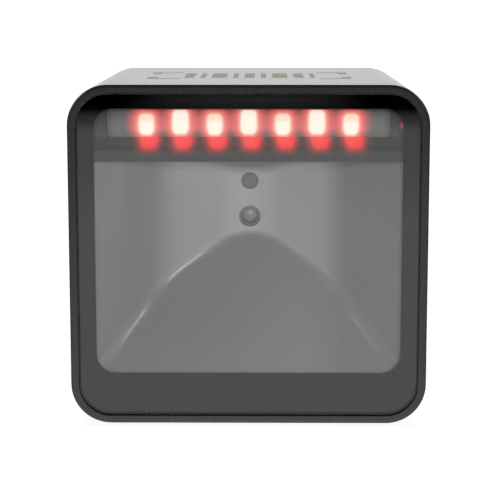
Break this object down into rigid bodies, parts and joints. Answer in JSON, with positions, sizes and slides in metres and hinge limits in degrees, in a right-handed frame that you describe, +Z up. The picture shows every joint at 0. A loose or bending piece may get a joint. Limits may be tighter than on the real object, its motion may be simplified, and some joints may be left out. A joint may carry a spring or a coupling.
{
  "type": "presentation barcode scanner",
  "caption": "Compact hands-free desktop barcode scanner: a rounded black box with a flush window, a row of red lamps over a sloped grey camera shroud, a mode button and a cable socket.",
  "frame": {"origin": "centre of the bounding box at the level its feet stand on", "axes": "+Z up from the feet; -Y out of the window towards the goods, +Y out of the back with the cable socket; +X to the right seen from the front"},
  "size_m": [0.08, 0.08, 0.0771],
  "materials": {
    "case_black": "fine satin texture",
    "button_grey": "satin",
    "window_clear": "polished, clear",
    "window_black": "opaque black print seen through the glass",
    "tape_black": "matt adhesive tape",
    "seal_foam": "soft foam",
    "shroud_grey": "matt moulded",
    "lamp_housing_grey": "matt moulded",
    "lamp_lens": "frosted diffuser",
    "lamp_body": "white moulded",
    "lamp_die": "lit",
    "sensor_dark": "dark epoxy",
    "lens_black": "matt black",
    "lens_glass": "coated",
    "filter_glass": "coated",
    "aimer_clear": "moulded clear",
    "sensor_chip": "ceramic with glass lid",
    "lamp_small": "white moulded",
    "board_green": "solder resist",
    "chip_black": "moulded epoxy",
    "capacitor_tan": "ceramic",
    "connector_ivory": "moulded",
    "ribbon_white": "flat film cable",
    "socket_black": "moulded",
    "contact_gold": "plated",
    "sounder_black": "moulded",
    "switch_black": "moulded",
    "can_tin": "tin plate",
    "screw_zinc": "zinc plate",
    "screw_black": "black oxide",
    "ballast_steel": "plain steel",
    "foot_rubber": "matt",
    "label_silver": "blank film label"
  },
  "bodies": {
    "root": {"aimer_led": "lamp_small", "aimer_lens": "aimer_clear", "ballast_plate": "ballast_steel", "ballast_screws": "screw_zinc", "body_shell": "case_black", "buzzer": "sounder_black", "buzzer_gasket": "seal_foam", "camera_board": "board_green", "camera_board_screws": "screw_zinc", "camera_shroud": "shroud_grey", "chip_capacitors": "capacitor_tan", "cover_screws": "screw_black", "dust_seal": "seal_foam", "image_chip": "chip_black", "image_sensor": "sensor_chip", "interface_socket": "socket_black", "ir_cut_filter": "filter_glass", "led_board": "board_green", "led_board_screws": "screw_zinc", "led_emitters": "lamp_die", "led_housing": "lamp_housing_grey", "led_lens_bar": "lamp_lens", "led_packages": "lamp_body", "led_ribbon": "ribbon_white", "lens_barrel": "lens_black", "lens_front_element": "lens_glass", "lens_holder": "lens_black", "lens_rear_element": "lens_glass", "main_board": "board_green", "main_board_screws": "screw_zinc", "memory_chip": "chip_black", "mezzanine_plug": "connector_ivory", "mezzanine_socket": "connector_ivory", "processor_chip": "chip_black", "proximity_sensors": "sensor_dark", "rating_label": "label_silver", "rear_cover": "case_black", "ribbon_connector_front": "connector_ivory", "ribbon_connector_rear": "connector_ivory", "rubber_feet": "foot_rubber", "shield_can": "can_tin", "shroud_screws": "screw_zinc", "socket_contacts": "contact_gold", "tact_switch": "switch_black", "window_glass": "window_clear", "window_mask": "window_black", "window_tape": "tape_black"},
    "mode_button": {"mode_button": "button_grey", "switch_plunger": "switch_black"}
  },
  "joints": [
    {"name": "button_press", "type": "slide", "parent": "root", "child": "mode_button", "axis": [0, -1, 0], "range_m": [0, 0.0006], "stiffness_N_per_m": 3000}
  ]
}
